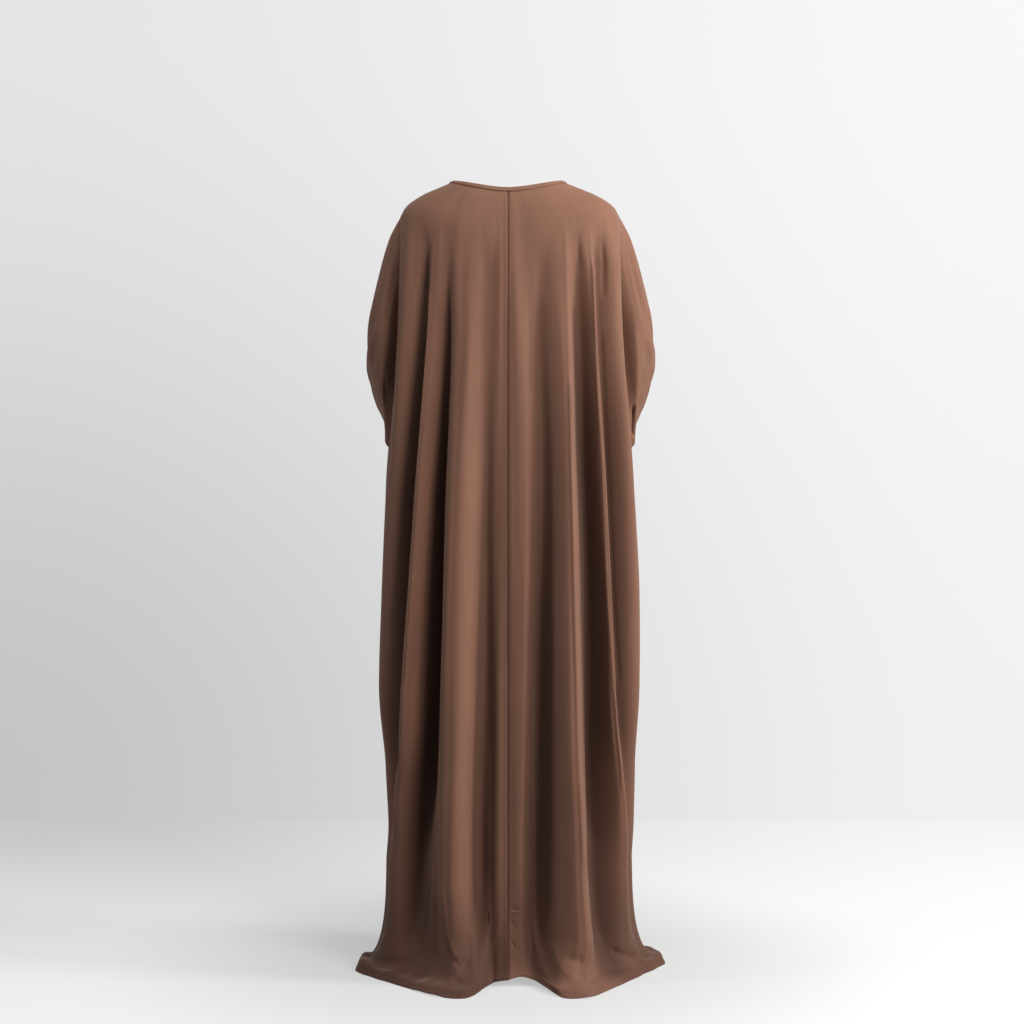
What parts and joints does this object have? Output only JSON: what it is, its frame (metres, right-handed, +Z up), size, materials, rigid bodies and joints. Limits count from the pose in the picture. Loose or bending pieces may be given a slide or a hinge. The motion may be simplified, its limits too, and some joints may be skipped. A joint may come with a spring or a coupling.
{
  "type": "abaya",
  "caption": "Long wide abaya in plain crepe, hollow as worn with bent arms: round neck, batwing sleeves, centre back seam with a closed vent, and a hem that trails on the floor.",
  "frame": {"origin": "middle of the shoulder line, where the wearer's shoulders hold the garment up, 1.4 m above the floor that the hem trails on", "axes": "+Z up, -Y towards the garment's front, +Y towards its back, +X towards the wearer's left"},
  "size_m": [0.5673, 0.5033, 1.4337],
  "materials": {
    "cloth": "plain brown crepe, matte with a soft sheen",
    "binding": "the same brown crepe, cut narrow and folded"
  },
  "bodies": {
    "root": {"back_left": "cloth", "back_right": "cloth", "front": "cloth", "sleeve_left": "cloth", "sleeve_right": "cloth", "neck_binding": "binding", "vent_underlap": "binding"}
  },
  "joints": []
}
